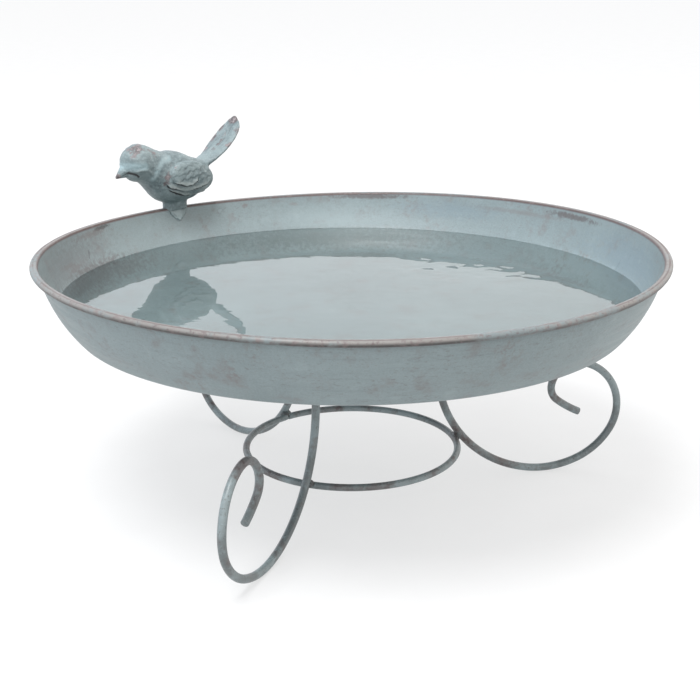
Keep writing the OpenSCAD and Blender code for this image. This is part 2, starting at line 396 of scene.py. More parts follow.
def brushed_paint():
    """Brushed paint on the dish: faint streaks round it, rubbed patches and a worn rim, with
    painted shade on the roll and under its bead, a painted highlight at the waterline and painted
    cool shade on the right of the inside.
    """
    look = Look("brushed_paint")
    inside = look.attribute("inside")
    broad = look.noise(13, 4, 0.55)
    streaks = look.noise(1, 4, 0.6, at=look.stretched(24, 24, 520))
    fine = look.noise(1, 3, 0.65, at=look.stretched(340, 340, 1100))
    grain = look.noise(1300, 2, 0.6)
    mottle = look.noise(90, 5, 0.65)
    base = look.mix(look.ramp(broad, 0.36, 0.64), PAINT, look.mix(0.25, PAINT, PAINT_PALE))
    streaky = look.ramp(inside, 0, 1, 0.3, 0.12)
    light = look.maths("MULTIPLY", look.ramp(streaks, 0.5, 0.75), streaky)
    base = look.mix(light, base, PAINT_PALE)
    dark = look.maths("MULTIPLY", look.ramp(streaks, 0.48, 0.28), streaky)
    base = look.mix(dark, base, PAINT_DEEP)
    base = look.mix(look.ramp(grain, 0.3, 0.7, 0, 0.3), base, PAINT_PALE)
    base = look.mix(look.ramp(mottle, 0.52, 0.72, 0, 0.4), base, RUB)
    base = look.mix(look.ramp(mottle, 0.45, 0.28, 0, 0.3), base, PAINT_PALE)
    # short dashes where the brush ran dry, gathered in patches
    patch = look.ramp(look.noise(1, 4, 0.6, at=look.stretched(14, 14, 70)), 0.4, 0.64, 0.25)
    dashes = look.maths("MULTIPLY", patch, look.ramp(fine, 0.55, 0.7))
    dashes = look.maths("MULTIPLY", dashes, look.ramp(inside, 0, 1, 0.5, 0.3))
    base = look.mix(dashes, base, colour(88, 84, 86))
    # rubbed spots let the brown under-coat through
    spots = look.maths("MULTIPLY", look.ramp(look.noise(30, 5, 0.65), 0.54, 0.7),
                       look.ramp(look.noise(420, 4, 0.65), 0.46, 0.62))
    base = look.mix(look.maths("MULTIPLY", spots, 0.6), base, RUB)
    base = look.mix(look.ramp(look.noise(1050, 2, 0.6), 0.64, 0.74, 0, 0.5), base, RUB)
    around = look.around()
    ragged = look.ramp(look.noise(420, 4, 0.7), 0.3, 0.7, -0.5, 0.5)
    for mark, tint in MARKS:
        shown = look.maths("MULTIPLY", look.spot(around, ragged, mark), inside)
        base = look.mix(shown, base, tint)
    # the rolled rim, by the distance in mm past the top of the wall
    past = look.attribute("past_wall")
    uneven = look.noise(24, 3, 0.6)
    chips = look.noise(260, 5, 0.7)
    worn = look.maths("ADD", uneven, look.maths("MULTIPLY", chips, 0.6))
    roll = look.ramp(past, -0.1, 0.5)
    bony = look.ramp(worn, 0.66, 0.9, 0.15, 0.85)
    # the whole roll is painted darker: painted shade that tones down the light its top catches
    base = look.mix(look.maths("MULTIPLY", roll, 0.6), base, PAINT_DEEP)
    base = look.mix(look.maths("MULTIPLY", roll, bony), base, BONE)
    # lines round the rim: rust at the inner edge, rust past the top, and painted shade on the
    # bead's underside, each broken up by the wear
    for low, peak, high, start, tint in (
        (-0.7, 0.6, 1.9, 0.5, RUST),
        (2.2, 2.9, 3.6, 0.66, RUST),
        (4.4, 6.0, 8.5, 0.66, DARK_MARKS_AND_SHADE),
    ):
        band = look.maths("MULTIPLY", look.ramp(past, low, peak), look.ramp(past, high, peak))
        band = look.maths("MULTIPLY", band, look.ramp(worn, start, start + 0.22, 0.12, 0.95))
        base = look.mix(band, base, tint)
    base = look.mix(look.ramp(chips, 0.52, 0.66, 0, look.maths("MULTIPLY", roll, 0.7)), base, RUB)
    crumbs = look.maths("MULTIPLY", roll, look.ramp(look.noise(620, 4, 0.7), 0.54, 0.64, 0, 0.8))
    base = look.mix(crumbs, base, colour(84, 74, 73))
    # painted shadow in the groove under the bead
    base = look.mix(look.maths("MULTIPLY", look.attribute("groove_shadow"), 0.75), base, DARK_MARKS_AND_SHADE)
    rough = look.ramp(streaks, 0.3, 0.7, 0.4, 0.55)
    normal = look.bump(streaks, 0.03, 0.4)
    normal = look.bump(fine, 0.05, 0.5, after=normal)
    normal = look.bump(grain, 0.04, 0.5, after=normal)
    return look.finish(base, rough, normal, 0.4)


def wire_paint():
    """Thin paint on the stand's wire, rubbed brown on its high spots."""
    look = Look("wire_paint")
    broad = look.noise(34, 4, 0.6)
    fine = look.noise(420, 4, 0.65)
    base = look.mix(look.ramp(broad, 0.4, 0.6), colour(92, 99, 100), colour(120, 131, 133))
    base = look.mix(look.ramp(fine, 0.5, 0.75, 0, 0.4), base, PAINT_PALE)
    rubbed = look.ramp(look.noise(40, 5, 0.7), 0.48, 0.62)
    base = look.mix(look.maths("MULTIPLY", rubbed, 0.75), base, colour(88, 80, 79))
    bare = look.maths("MULTIPLY", rubbed, look.ramp(look.noise(300, 5, 0.7), 0.5, 0.62))
    base = look.mix(look.maths("MULTIPLY", bare, 0.7), base, colour(70, 57, 55))
    specks = look.noise(900, 2, 0.6)
    base = look.mix(look.ramp(specks, 0.6, 0.7, 0, 0.6), base, colour(64, 58, 57))
    normal = look.bump(fine, 0.1, 0.6)
    return look.finish(base, look.ramp(broad, 0.3, 0.7, 0.32, 0.48), normal, 0.5)


def plain_paint():
    """The dish's paint, unworn, on the tongue that holds the bird."""
    look = Look("plain_paint")
    fine = look.noise(500, 4, 0.65)
    base = look.mix(look.ramp(look.noise(120, 4, 0.6), 0.4, 0.62), PAINT, PAINT_PALE)
    base = look.mix(look.ramp(fine, 0.52, 0.7, 0, 0.4), base, PAINT_DEEP)
    return look.finish(base, look.ramp(fine, 0.3, 0.7, 0.42, 0.55), look.bump(fine, 0.08, 0.5), 0.4)


def weld_paint():
    """Dark, thinly painted filler metal."""
    look = Look("weld_paint")
    fine = look.noise(500, 4, 0.7)
    base = look.mix(look.ramp(fine, 0.35, 0.65), colour(62, 66, 67), colour(92, 100, 101))
    base = look.mix(look.ramp(look.noise(160, 4, 0.6), 0.5, 0.66, 0, 0.7), base, RUST)
    return look.finish(base, 0.5, look.bump(fine, 0.12, 0.7), 0.5)


def bare_steel():
    """Bare drawn wire inside the rolled rim, with a light bloom of rust."""
    look = Look("bare_steel")
    fine = look.noise(700, 4, 0.6)
    rust = look.ramp(look.noise(180, 4, 0.6), 0.45, 0.6)
    base = look.mix(rust, colour(126, 122, 118), colour(104, 74, 58))
    metal = look.ramp(rust, 0.0, 1.0, 0.85, 0.1)
    rough = look.ramp(fine, 0.3, 0.7, 0.4, 0.6)
    return look.finish(base, rough, look.bump(fine, 0.05, 0.5), 0.5, metal)


def cast_paint():
    """Paint on the casting, rubbed brown in places; painted shade darkens its hollows and a painted
    highlight lightens its ridges.
    """
    look = Look("cast_paint")
    relief = look.attribute("relief")
    rub = look.attribute("rub")
    broad = look.noise(85, 4, 0.6)
    fine = look.noise(650, 4, 0.65)
    blotch = look.noise(330, 5, 0.72)
    base = look.mix(look.ramp(broad, 0.36, 0.62), colour(88, 101, 104), colour(113, 126, 128))
    base = look.mix(look.ramp(fine, 0.45, 0.75, 0, 0.5), base, colour(140, 152, 153))
    # pale teal along the face, and a painted highlight in front of the shoulder
    base = look.mix(look.ramp(look.attribute("pale"), 0.1, 1, 0, 0.6), base, colour(142, 163, 168))
    # paler on the relief's ridges and near black in its hollows: painted highlight and painted
    # shade
    base = look.mix(look.ramp(relief, 0.15, 0.8, 0, 0.5), base, colour(146, 152, 150))
    base = look.mix(look.ramp(relief, -0.08, -0.5, 0, 0.9), base, colour(46, 42, 43))
    worn = look.ramp(look.maths("ADD", rub, blotch), 0.86, 1.02)
    base = look.mix(look.maths("MULTIPLY", worn, 0.85), base, colour(76, 65, 66))
    pale = look.ramp(look.noise(330, 4, 0.7), 0.5, 0.62)
    pale = look.maths("MULTIPLY", pale, look.ramp(rub, 0.15, 0.6, 0, 0.6))
    base = look.mix(pale, base, colour(150, 142, 143))
    pits = look.maths("MULTIPLY", look.ramp(look.noise(480, 4, 0.7), 0.56, 0.66),
                      look.ramp(rub, 0.2, 0.7, 0.1, 0.75))
    base = look.mix(pits, base, colour(62, 52, 54))
    specks = look.ramp(look.noise(1100, 2, 0.6), 0.62, 0.72, 0, 0.5)
    base = look.mix(specks, base, colour(76, 72, 72))
    normal = look.bump(fine, 0.12, 0.6)
    normal = look.bump(blotch, 0.2, 0.4, after=normal)
    return look.finish(base, look.ramp(broad, 0.3, 0.7, 0.42, 0.58), normal, 0.4)


def water_look():
    """Clear still water: a mirror at low angles, and nearly clear from above."""
    look = Look("water")
    ripples = look.noise(1, 2, 0.5, at=look.stretched(55, 80, 1))
    normal = look.bump(ripples, 0.12, 0.5)
    mirror = look.node("BsdfGlossy", distribution="GGX")
    mirror.inputs["Roughness"].default_value = 0.02
    mirror.inputs["Color"].default_value = (1, 1, 1, 1)
    look.wire(normal, mirror.inputs["Normal"])
    clear = look.node("BsdfTransparent")
    clear.inputs["Color"].default_value = (0.86, 0.885, 0.88, 1)
    share = look.node("Fresnel")
    share.inputs["IOR"].default_value = 1.333
    look.wire(normal, share.inputs["Normal"])
    both = look.node("MixShader")
    look.wire(share.outputs[0], both.inputs["Fac"])
    look.wire(clear.outputs[0], both.inputs[1])
    look.wire(mirror.outputs[0], both.inputs[2])
    look.wire(both.outputs[0], look.output.inputs["Surface"])
    return look.material


def floor_look():
    """Pale matte table that glows a little, as on a light table."""
    look = Look("pale_floor")
    grain = look.noise(30, 3, 0.5)
    base = look.mix(grain, (0.22, 0.22, 0.22, 1), (0.25, 0.25, 0.25, 1))
    shader = look.node("BsdfPrincipled")
    look.wire(base, shader.inputs["Base Color"])
    shader.inputs["Roughness"].default_value = 0.9
    shader.inputs["Specular IOR Level"].default_value = 0.0
    shader.inputs["Emission Color"].default_value = (1, 1, 1, 1)
    shader.inputs["Emission Strength"].default_value = FLOOR_GLOW
    look.wire(shader.outputs[0], look.output.inputs["Surface"])
    return look.material


# ---- dish ----

WALL_TOP = (
    LIP_R - ROLL_R * ring_sin(WALL_END),
    RIM_Z + ROLL_R * ring_cos(WALL_END),
)
WALL_MID = (
    WALL_TOP[0] - WALL_R * ring_sin(WALL_END),
    WALL_TOP[1] + WALL_R * ring_cos(WALL_END),
)
CORNER_MID = (
    WALL_MID[0] + (WALL_R - CORNER_R) * ring_sin(CORNER_TURN),
    FLOOR_Z + CORNER_R,
)
DISH_SEGMENTS = 300
# How the real rim is out of true: height in mm over the middle of the dish, and the
# (amount in mm, direction) of one tilt and of one bend with two high sides.
RIM_LIFT = 0.3
RIM_TILT = (0.8, -35.0)
RIM_BEND = (1.1, 32.0)


def rim_rise(points):
    """How far each point of the dish lies above its true place; the floor stays flat."""
    angle = np.arctan2(points[:, 1], points[:, 0])
    radius = np.hypot(points[:, 0], points[:, 1])
    share = smooth_step(FLOOR_Z, RIM_Z, points[:, 2]) * smooth_step(110, RIM_R, radius)
    rise = (
        RIM_LIFT
        + RIM_TILT[0] * np.cos(angle - math.radians(RIM_TILT[1]))
        + RIM_BEND[0] * np.cos(2 * (angle - math.radians(RIM_BEND[1])))
    )
    return rise * share


def out_of_true(points):
    """Dish points with the rim's bend and the faint waves of hand-worked sheet."""
    moved = points.copy()
    moved[:, 2] += rim_rise(points)
    radius = np.hypot(points[:, 0], points[:, 1])
    on_wall = smooth_step(120, 146, radius)
    wave = 0.16 * on_wall * noise_at(points, 34, 3) + 0.05 * on_wall * noise_at(points, 9, 5)
    moved[:, 0] += wave * points[:, 0] / np.maximum(radius, 1)
    moved[:, 1] += wave * points[:, 1] / np.maximum(radius, 1)
    return moved


def build_dish(material):
    stations = [(CORNER_MID[0] * k / 16, FLOOR_Z, 0.0, 1.0) for k in range(16)]
    stations += arc(CORNER_MID, CORNER_R, -90, CORNER_TURN, 7)
    stations += arc(WALL_MID, WALL_R, CORNER_TURN - 90, WALL_TURN, 26)[1:]
    wall_stations = len(stations)
    stations += arc((LIP_R, RIM_Z), ROLL_R, 90 + WALL_END, -WALL_END, 9)[1:]
    stations += [(LIP_R + RIM_FLAT * k / 3, RIM_Z + ROLL_R, 0.0, 1.0) for k in (1, 2)]
    stations += arc((RIM_R, RIM_Z), ROLL_R, 90, WALL_END - ROLL_TURN, 20)
    half = SHEET_T / 2
    inner = [(x + nx * half, z + nz * half) for x, z, nx, nz in stations]
    outer = [(max(x - nx * half, 0.0), z - nz * half) for x, z, nx, nz in reversed(stations)]
    x, z, nx, nz = stations[-1]
    tip = (x + nz * half * 0.7, z - nx * half * 0.7)
    section = inner + [tip] + outer
    points, faces, rows = lathe(section, DISH_SEGMENTS)
    # past_wall: distance along the skin past the top of the wall's inside, negative below it.
    # groove_shadow: 1 in the groove where the roll meets the wall's outside, where a painted shadow
    # goes.
    steps = np.linalg.norm(np.diff(np.array(section), axis=0), axis=1)
    reach = np.concatenate([[0], np.cumsum(steps)])
    reach -= reach[wall_stations - 1]
    past, groove_shadow, inner_side = np.zeros((3, len(points)))
    for k, (row, (_, height)) in enumerate(zip(rows, section)):
        inside = k <= len(inner)
        past[row] = reach[k] if inside else -100.0
        inner_side[row] = inside
        groove_shadow[row] = 0.0 if inside else smooth_step(-1.4, 0.3, height - RIM_Z + BEAD_R)
    return make_piece(
        "dish_shell", out_of_true(points), faces, material, ["dish"],
        {"past_wall": past, "groove_shadow": groove_shadow, "inside": inner_side},
    )


def build_rim_wire(material):
    steps = 300
    path = np.array([
        (RIM_R * math.cos(TAU * k / steps), RIM_R * math.sin(TAU * k / steps), RIM_Z)
        for k in range(steps)
    ])
    points, faces = sweep(out_of_true(path), [RIM_WIRE_R * 0.94] * steps, 12, closed=True)
    return make_piece("rim_core", points, faces, material, ["rim_wire"])


# ---- stand ----

TOP_END_Z = UNDER_Z - 0.02 - LEG_R
UPRIGHT_Z = (
    LEG_R + BENDS[0][0] * ring_sin(BENDS[0][1]) + BENDS[1][0] * (1 - ring_cos(90 - BENDS[0][1]))
)
FIRST_MID = (UPRIGHT_R + BENDS[0][0], UPRIGHT_Z)
RING_REACH = BENDS[0][0] + LEG_R + WELD_GAP + RING_WIRE_R
RING_AT = (
    FIRST_MID[0] - RING_REACH * ring_cos(RING_TURN),
    FIRST_MID[1] - RING_REACH * ring_sin(RING_TURN),
)
WELD_REACH = BENDS[0][0] + LEG_R + WELD_GAP / 2
WELD_AT = (
    FIRST_MID[0] - WELD_REACH * ring_cos(RING_TURN),
    FIRST_MID[1] - WELD_REACH * ring_sin(RING_TURN),
)


def leg_line():
    """The middle of a leg's wire as (radius, height), from under the dish to the curl's end."""
    bend_z = TOP_END_Z - TOP_BEND_R
    line = [
        (UPRIGHT_R - TOP_BEND_R - TOP_END_L * (1 - k / 8), TOP_END_Z) for k in range(8)
    ]
    line += [s[:2] for s in arc((UPRIGHT_R - TOP_BEND_R, bend_z), TOP_BEND_R, 90, -90, 12)]
    line += [(UPRIGHT_R, bend_z + (UPRIGHT_Z - bend_z) * k / 12) for k in range(1, 12)]
    middle, heading = FIRST_MID, -90.0
    for (radius, turn), following in zip(BENDS, (*BENDS[1:], BENDS[-1])):
        steps = max(4, round(radius * math.radians(turn) / 1.3))
        line += [s[:2] for s in arc(middle, radius, heading - 90, turn, steps)[:-1]]
        heading += turn
        step = radius - following[0]
        last = (middle, radius, heading)
        middle = (middle[0] + step * ring_sin(heading), middle[1] - step * ring_cos(heading))
    (x, z), radius, heading = last
    line.append((x + radius * ring_cos(heading - 90), z + radius * ring_sin(heading - 90)))
    return np.array(line)


def wire_radii(path, radius, seed, ends=True):
    """A radius at each point of a wire: a little uneven, and slightly dressed at cut ends."""
    radii = radius * (1 + 0.012 * noise_at(path, 14, seed))
    if ends:
        for k, share in ((0, 0.9), (-1, 0.94)):
            radii[k] *= share
    return radii


def build_leg(node, at, seed, material):
    line = leg_line()
    first, last = line[0], line[-1]
    toe = 0.22  # the dressed edge at a cut end
    line = np.vstack([
        first,
        first + (line[1] - first) / np.linalg.norm(line[1] - first) * toe,
        line[1:-1],
        last - (last - line[-2]) / np.linalg.norm(last - line[-2]) * toe,
        last,
    ])
    path = np.column_stack([line[:, 0], np.zeros(len(line)), line[:, 1]])
    # out-of-plane wobble of hand-bent wire, nil where it is welded and where it stands
    free = smooth_step(95, 125, path[:, 0]) * smooth_step(6, 30, path[:, 2])
    path[:, 1] += 0.9 * free * noise_at(path, 45, seed)
    points, faces = sweep(path, wire_radii(path, LEG_R, seed), 28)
    return make_piece(
        node + "_wire", turned(points, at), faces, material, [node]
    )


def build_ring(material):
    gap = math.degrees(1.2 / RING_AT[0])
    steps = 220
    start = LEGS["leg_back"] + gap / 2
    path = []
    for k in range(steps + 1):
        a = start + (360 - gap) * k / steps
        path.append((RING_AT[0] * ring_cos(a), RING_AT[0] * ring_sin(a), RING_AT[1]))
    path = np.array(path)
    points, faces = sweep(path, wire_radii(path, RING_WIRE_R, 8), 24)
    return make_piece(
        "bracing_ring_wire", points, faces, material, ["bracing_ring"]
    )


def lump(centre, size, turn, roughness, seed, steps=4):
    """A lumpy ball: an icosphere scaled to `size`, turned about Z and pushed in and out."""
    work = bmesh.new()
    bmesh.ops.create_icosphere(work, subdivisions=steps, radius=1.0)
    points = np.array([v.co for v in work.verts])
    faces = [tuple(v.index for v in f.verts) for f in work.faces]
    work.free()
    swell = 1 + roughness * (noise_at(points, 0.8, seed) + 0.5 * noise_at(points, 0.35, seed + 3))
    points = points * swell[:, None] * np.array(size)
    return turned(points, turn) + np.array(centre), faces


def build_ring_weld(node, at, seed, material):
    """Filler round the crossing of ring and leg, with the fillet drawn out along the ring."""
    centre = turned([(WELD_AT[0], 0, WELD_AT[1])], at)[0]
    points, faces = lump(centre, (2.3, 3.1, 2.4), at, 0.10, seed)
    return make_piece(node + "_filler", points, faces, material, [node])


def build_dish_weld(node, at, seed, material):
    """Two rippled beads, one on each side of the wire's flat end."""
    start, length, pitch = UPRIGHT_R - TOP_BEND_R - TOP_END_L + 1, TOP_END_L - 3, 1.5
    points, faces = [], []
    steps, sides = 44, 12
    for side in (-1, 1):
        first = len(points)
        for i in range(steps + 1):
            t = i / steps
            x = start + length * t
            taper = math.sin(math.pi * min(1, 8 * t, 8 * (1 - t)) / 2)
            ripple = 1 + 0.10 * abs(math.sin(math.pi * x / pitch))
            reach = 1.35 * max(taper, 0.08) * ripple
            for j in range(sides + 1):
                a = math.pi + math.pi * j / sides
                points.append((
                    x + 0.25 * math.sin(a),
                    side * (LEG_R + 0.15) + reach * math.cos(a) * 1.05,
                    UNDER_Z - 0.01 + reach * math.sin(a),
                ))
        width = sides + 1
        for i in range(steps):
            for j in range(width):
                k = (j + 1) % width
                faces.append(tuple(first + q for q in (
                    i * width + j, i * width + k, (i + 1) * width + k, (i + 1) * width + j
                )))
        faces.append(tuple(first + j for j in range(width)))
        faces.append(tuple(first + steps * width + j for j in reversed(range(width))))
    points = np.array(points)
    lumps = 0.12 * noise_at(points, 1.6, seed)
    points[:, 2] = np.minimum(points[:, 2] + lumps, UNDER_Z - 0.01)
    return make_piece(
        node + "_filler", turned(points, at), faces, material, [node]
    )


# ---- bird ----
# Its own frame: x towards the beak, y to its left, z up from the top of the rim. A station is
# (x, z, half width, half height, lean in degrees).

BODY = (
    (-22.4, 17.6, 2.4, 2.2, 0), (-20, 16.5, 8, 7.3, 0), (-16, 15.4, 10.9, 9.5, 0),
    (-10, 15, 12.9, 12, 0), (-3, 15.8, 13.8, 14.4, 0), (4, 16.3, 13.6, 15.1, 4),
    (10.2, 17.8, 12.4, 13.9, 10), (15, 21.1, 10.8, 12, 14), (19.3, 24.3, 10, 11.2, 10),
    (23.8, 26.4, 10.1, 10.8, 4), (27.9, 26, 9, 9.7, -4), (31, 25, 6.5, 7.6, -10),
    (33.4, 23.8, 2.9, 3.7, -14),
)
BEAK = (
    (31, 23.2, 4.2, 4.5, -30), (33.5, 21.9, 2.9, 3.3, -34), (36.1, 20.6, 1.6, 1.8, -36),
    (38.4, 19.5, 0.5, 0.6, -36),
)
TAIL = (
    (-45.3, 46.3, 1.4, 0.9, -43), (-44.4, 44, 4.9, 1.3, -43), (-42.2, 40.6, 8.1, 1.5, -43),
    (-38, 35.9, 9.8, 1.7, -43), (-32.6, 30.7, 9.9, 1.9, -43), (-25.6, 24.9, 8.2, 2.2, -43),
    (-20.3, 22, 6.9, 2.8, -43), (-15, 18.1, 6.3, 3.6, -43),
)
TAIL_TIP, TAIL_ROOT = np.array([-45.0, 46.5]), np.array([-15.0, 18.1])
FOOT = ((-1.2 - PERCH_DROP, 7.8, 5), (1.6, 7.8, 5.6), (4, 9.6, 7), (7, 12, 9))
WING_SIZE, WING_PLACE, WING_DIP = (15.5, 3.6, 9.0), (-5.0, 11.6, 17.0), 14.0
TONGUE_RISE, TONGUE_SIDE, TONGUE_END = 7.0, (6.0, 0.5), (1.2, 5.6)
TONGUE_T, TONGUE_GAP = 0.9, 0.05
SIDES = 48
VOXEL = 0.42


def spline(stations, steps):
    """Catmull-Rom stations between the given ones."""
    s = np.array(stations, float)
    padded = np.vstack([s[0], s, s[-1]])
    out = []
    for i in range(len(s) - 1):
        p, q, r, n = padded[i:i + 4]
        for k in range(steps):
            t = k / steps
            out.append(0.5 * (2 * q + (r - p) * t + (2 * p - 5 * q + 4 * r - n) * t**2
                              + (3 * q - p - 3 * r + n) * t**3))
    return np.array(out + [s[-1]])


def skin(rings):
    """Points and faces of a closed skin over rings of the same number of points."""
    sides = len(rings[0])
    points = [p for ring in rings for p in ring]
    faces = [
        (i * sides + j, i * sides + (j + 1) % sides, (i + 1) * sides + (j + 1) % sides,
         (i + 1) * sides + j)
        for i in range(len(rings) - 1) for j in range(sides)
    ]
    faces.append(tuple(range(sides)))
    faces.append(tuple(range(len(points) - 1, len(points) - 1 - sides, -1)))
    return points, faces


def loft(stations, steps=6):
    rings = []
    for x, z, width, height, lean in spline(stations, steps):
        rings.append([
            (x - ring_sin(lean) * height * math.sin(a), width * math.cos(a),
             z + ring_cos(lean) * height * math.sin(a))
            for a in (TAU * j / SIDES for j in range(SIDES))
        ])
    return skin(rings)


def bird_rough():
    """The bird's masses, still separate shells, in one mesh."""
    parts = [loft(BODY), loft(BEAK), loft(TAIL)]
    parts.append(skin([
        [(s[1] * math.cos(TAU * j / SIDES), s[2] * math.sin(TAU * j / SIDES), s[0])
         for j in range(SIDES)] for s in spline(FOOT, 4)
    ]))
    for side in (-1, 1):
        points, faces = lump((0, 0, 0), WING_SIZE, 0, 0.0, 0)
        tilt = Matrix.Rotation(math.radians(side * 5), 3, "Z") @ Matrix.Rotation(
            math.radians(-WING_DIP), 3, "Y")
        place = Vector((WING_PLACE[0], side * WING_PLACE[1], WING_PLACE[2]))
        parts.append(([tilt @ Vector(p) + place for p in points], faces))
    points, faces = [], []
    for more, rest in parts:
        faces += [tuple(len(points) + i for i in f) for f in rest]
        points += [tuple(p) for p in more]
    return points, faces


def one_skin(points, faces, voxel, smoothing):
    """The shells merged into one skin by a voxel remesh, then smoothed."""
    mesh = bpy.data.meshes.new("rough")
    mesh.from_pydata([Vector(p) for p in points], [], faces)
    work = bmesh.new()
    work.from_mesh(mesh)
    bmesh.ops.recalc_face_normals(work, faces=work.faces)
    work.to_mesh(mesh)
    work.free()
    rough = bpy.data.objects.new("rough", mesh)
    bpy.context.scene.collection.objects.link(rough)
    remesh = rough.modifiers.new("remesh", "REMESH")
    remesh.mode, remesh.voxel_size = "VOXEL", voxel
    soften = rough.modifiers.new("soften", "SMOOTH")
    soften.factor, soften.iterations = 0.5, smoothing
    done = rough.evaluated_get(bpy.context.evaluated_depsgraph_get()).to_mesh()
    merged = np.array([v.co for v in done.vertices])
    normals = np.array([v.normal for v in done.vertices])
    polygons = [tuple(p.vertices) for p in done.polygons]
    bpy.data.objects.remove(rough)
    return merged, normals, polygons


def line_distance(points, line):
    """Distance in the side view from each point to a polyline, and how far along it lies."""
    line = np.array(line, float)
    best = np.full(len(points), 1e9)
    along = np.zeros(len(points))
    lengths = np.linalg.norm(np.diff(line, axis=0), axis=1)
    gone = 0.0
    for a, b, length in zip(line, line[1:], lengths):
        t = np.clip(((points - a) @ (b - a)) / length**2, 0, 1)
        away = np.linalg.norm(points - (a + t[:, None] * (b - a)), axis=1)
        closer = away < best
        best[closer] = away[closer]
        along[closer] = ((gone + t * length) / lengths.sum())[closer]
        gone += length
    return best, along


# Side-view lines (x, z) of the casting: feather edges from the shoulder towards the tail,
# the shoulder's own edge, the crease under the cheek, and the ridge over it.
FEATHER_EDGES = (
    ((9, 15.3), (4.4, 13.5), (-2.1, 12.6), (-5.7, 14.6), (-7, 17.4)),
    ((13.4, 15.2), (10.5, 12.6), (5.9, 11), (1.1, 9.8), (-2.3, 10.2), (-8, 10.9), (-14, 12.1),
     (-18.5, 14.4)),
    ((11.8, 12.2), (9.6, 10.6), (5.6, 8.7), (0.7, 7.1), (-4.3, 6.4), (-8.2, 7.1),
     (-16.5, 10.3)),
)
SHOULDER = ((19.5, 17.8), (16.6, 23.7), (12.7, 27.5), (8, 28.4))
CREASE = ((32, 21.9), (29.7, 21.2), (27.6, 19.6))
CHEEK_RIDGE = ((34, 23), (29.3, 22.9), (26, 23.6), (23, 23.8), (20.2, 20.8))
FACE_BAND = ((36.4, 25.6), (32.5, 26), (25.1, 25.6))
TAIL_BLOTCHES = ((-41, 42.6), (-36, 37.4), (-31, 32), (-26, 27.6))


def near(flat, line, reach):
    """1 on a side-view line, falling to nothing at about twice `reach` mm from it."""
    away, _ = line_distance(flat, line)
    return np.exp(-((away / reach) ** 2))


def bird_relief(points, normals):
    """How far each point of the casting stands out in mm, from feather lines and creases."""
    warp = np.column_stack([noise_at(points, 3.4, 11), noise_at(points, 3.4, 12)])
    flat = points[:, [0, 2]] + 0.55 * warp
    sideways = smooth_step(0.15, 0.5, np.abs(normals[:, 1]))
    relief = np.zeros(len(points))
    on_body = smooth_step(-21, -17, points[:, 0])
    # each long feather rises towards its lower edge and then drops
    for edge in FEATHER_EDGES:
        away, along = line_distance(flat, edge)
        ends = smooth_step(0, 0.12, along) * smooth_step(1.0, 0.8, along) * sideways * on_body
        above = smooth_step(-0.3, 0.3, flat[:, 1] - np.interp(flat[:, 0], *zip(*sorted(edge))))
        relief += ends * above * 1.05 * np.exp(-away / 1.7)
        relief -= ends * (1 - above) * 1.1 * np.exp(-((away / 0.8) ** 2))
    # small overlapping feathers above them, in soft uneven rows
    rows = smooth_step(13, 17, flat[:, 1]) * smooth_step(30, 25, flat[:, 1])
    rows *= smooth_step(-20, -15, flat[:, 0]) * smooth_step(13, 8, flat[:, 0]) * sideways
    curve = flat[:, 1] + 0.16 * flat[:, 0] + 0.5 * np.sin(TAU * flat[:, 0] / 4.6)
    fall = (curve / 3.3) % 1.0
    relief += 0.34 * rows * (smooth_step(0, 0.25, fall) * (1 - fall) - 0.3)
    relief += 0.22 * rows * noise_at(points, 2.6, 9)
    # shoulder edge, ridge and crease of the cheek
    relief += 0.4 * near(flat, SHOULDER, 1.5) * sideways
    relief += 0.35 * near(flat, CHEEK_RIDGE, 0.9) * sideways
    relief -= 0.75 * near(flat, CREASE, 0.6) * sideways
    # tail: a raised shaft, two faint grooves, and barbs along the edges
    axis = (TAIL_ROOT - TAIL_TIP) / np.linalg.norm(TAIL_ROOT - TAIL_TIP)
    along = (flat - TAIL_TIP) @ axis
    on_tail = smooth_step(30, 24, along) * smooth_step(-4, 1, along)
    across = np.abs(points[:, 1] + 0.7 * noise_at(points, 5, 13))
    for place, depth, width in ((0.0, 0.18, 0.7), (3.0, -0.16, 0.6), (6.2, -0.16, 0.6)):
        relief += on_tail * depth * np.exp(-(((across - place) / width) ** 2))
    relief += on_tail * 0.16 * noise_at(points, 2.4, 14)
    # soft plumage of the head, breast and back
    stretched = points * np.array([0.45, 1, 1])
    relief += 0.12 * noise_at(stretched, 1.3, 2) * (1 - on_tail)
    relief += 0.16 * noise_at(points, 4.5, 7)
    crown = np.exp(-np.sum(((points - np.array([24, 0, 34])) / np.array([9, 10, 6])) ** 2, axis=1))
    relief += 0.28 * crown * noise_at(points, 2.2, 15)
    # beak: the line between its halves
    beak = smooth_step(31.5, 33, points[:, 0])
    mouth = flat[:, 1] - (21.0 - 0.5 * (flat[:, 0] - 34))
    relief -= 0.35 * beak * np.exp(-((mouth / 0.3) ** 2)) * sideways
    return relief


